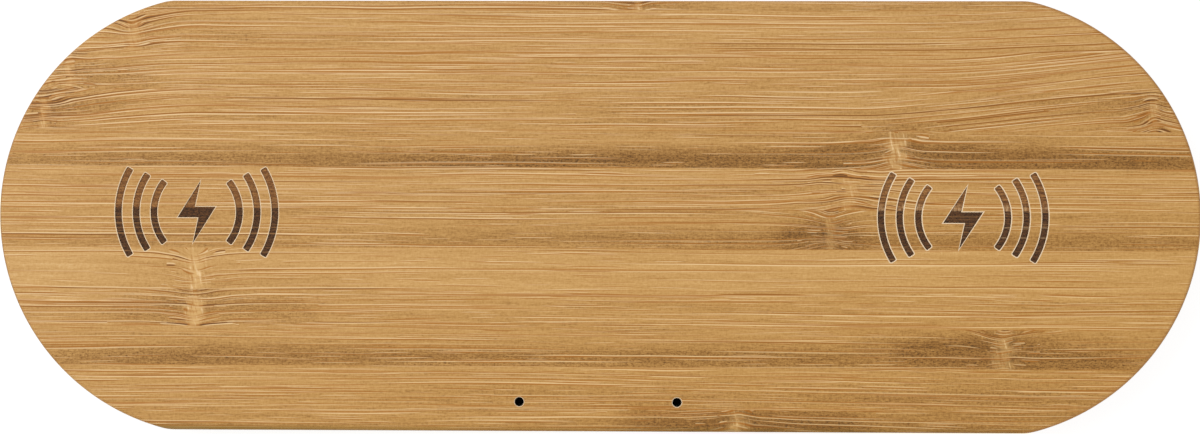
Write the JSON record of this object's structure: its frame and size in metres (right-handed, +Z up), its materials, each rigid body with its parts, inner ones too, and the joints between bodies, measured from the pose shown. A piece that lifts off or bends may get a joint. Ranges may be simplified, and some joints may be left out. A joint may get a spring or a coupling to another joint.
{
  "type": "wireless charger",
  "caption": "Flat bamboo wireless charging pad with rounded ends, engraved charging spots, small status lights and a power socket in its long side.",
  "frame": {"origin": "centre of the bounding box's footprint, on the surface that the feet stand on", "axes": "+X along the pad, towards the end whose charging spot lies further in from the edge; -Y the front, with the power socket and the two status light holes; +Z up, out of the charging surface"},
  "size_m": [0.24, 0.086, 0.012],
  "materials": {
    "bamboo": "light caramel bamboo in narrow laminated strips, satin lacquer",
    "cover_plastic": "black moulded ABS with a fine spark texture",
    "foot_rubber": "dark grey silicone",
    "screw_steel": "zinc plated steel",
    "copper_wire": "enamelled copper litz wire",
    "ferrite": "dark grey pressed ferrite",
    "tape": "double sided adhesive film",
    "foam": "black closed cell foam",
    "board_laminate": "green solder mask on glass epoxy",
    "socket_metal": "drawn nickel plated steel",
    "socket_plastic": "black liquid crystal polymer",
    "light_lens": "clear epoxy, dark while it is off",
    "sleeve_rubber": "black light blocking rubber",
    "chip_plastic": "black moulded epoxy",
    "ceramic": "tan fired ceramic with tinned ends",
    "tantalum": "amber moulded epoxy with tinned tabs",
    "core_grey": "grey pressed core"
  },
  "bodies": {
    "root": {"top_case": "bamboo", "bottom_cover": "cover_plastic", "circuit_board": "board_laminate", "usb_shell": "socket_metal", "usb_tongue": "socket_plastic", "input_inductor": "core_grey", "foot_1": "foot_rubber", "foot_2": "foot_rubber", "foot_3": "foot_rubber", "foot_4": "foot_rubber", "foot_5": "foot_rubber", "foot_6": "foot_rubber", "cover_screw_1": "screw_steel", "cover_screw_2": "screw_steel", "cover_screw_3": "screw_steel", "cover_screw_4": "screw_steel", "cover_screw_5": "screw_steel", "cover_screw_6": "screw_steel", "cover_screw_7": "screw_steel", "cover_screw_8": "screw_steel", "board_screw_1": "screw_steel", "board_screw_2": "screw_steel", "board_screw_3": "screw_steel", "board_screw_4": "screw_steel", "charging_coil_left": "copper_wire", "coil_tape_left": "tape", "ferrite_shield_left": "ferrite", "foam_pad_left": "foam", "light_sleeve_left": "sleeve_rubber", "status_light_left": "light_lens", "controller_chip_left": "chip_plastic", "input_capacitor_left": "tantalum", "bridge_transistor_left_1": "chip_plastic", "resonance_capacitor_left_1": "ceramic", "bridge_transistor_left_2": "chip_plastic", "resonance_capacitor_left_2": "ceramic", "charging_coil_right": "copper_wire", "coil_tape_right": "tape", "ferrite_shield_right": "ferrite", "foam_pad_right": "foam", "light_sleeve_right": "sleeve_rubber", "status_light_right": "light_lens", "controller_chip_right": "chip_plastic", "input_capacitor_right": "tantalum", "bridge_transistor_right_1": "chip_plastic", "resonance_capacitor_right_1": "ceramic", "bridge_transistor_right_2": "chip_plastic", "resonance_capacitor_right_2": "ceramic"}
  },
  "joints": []
}
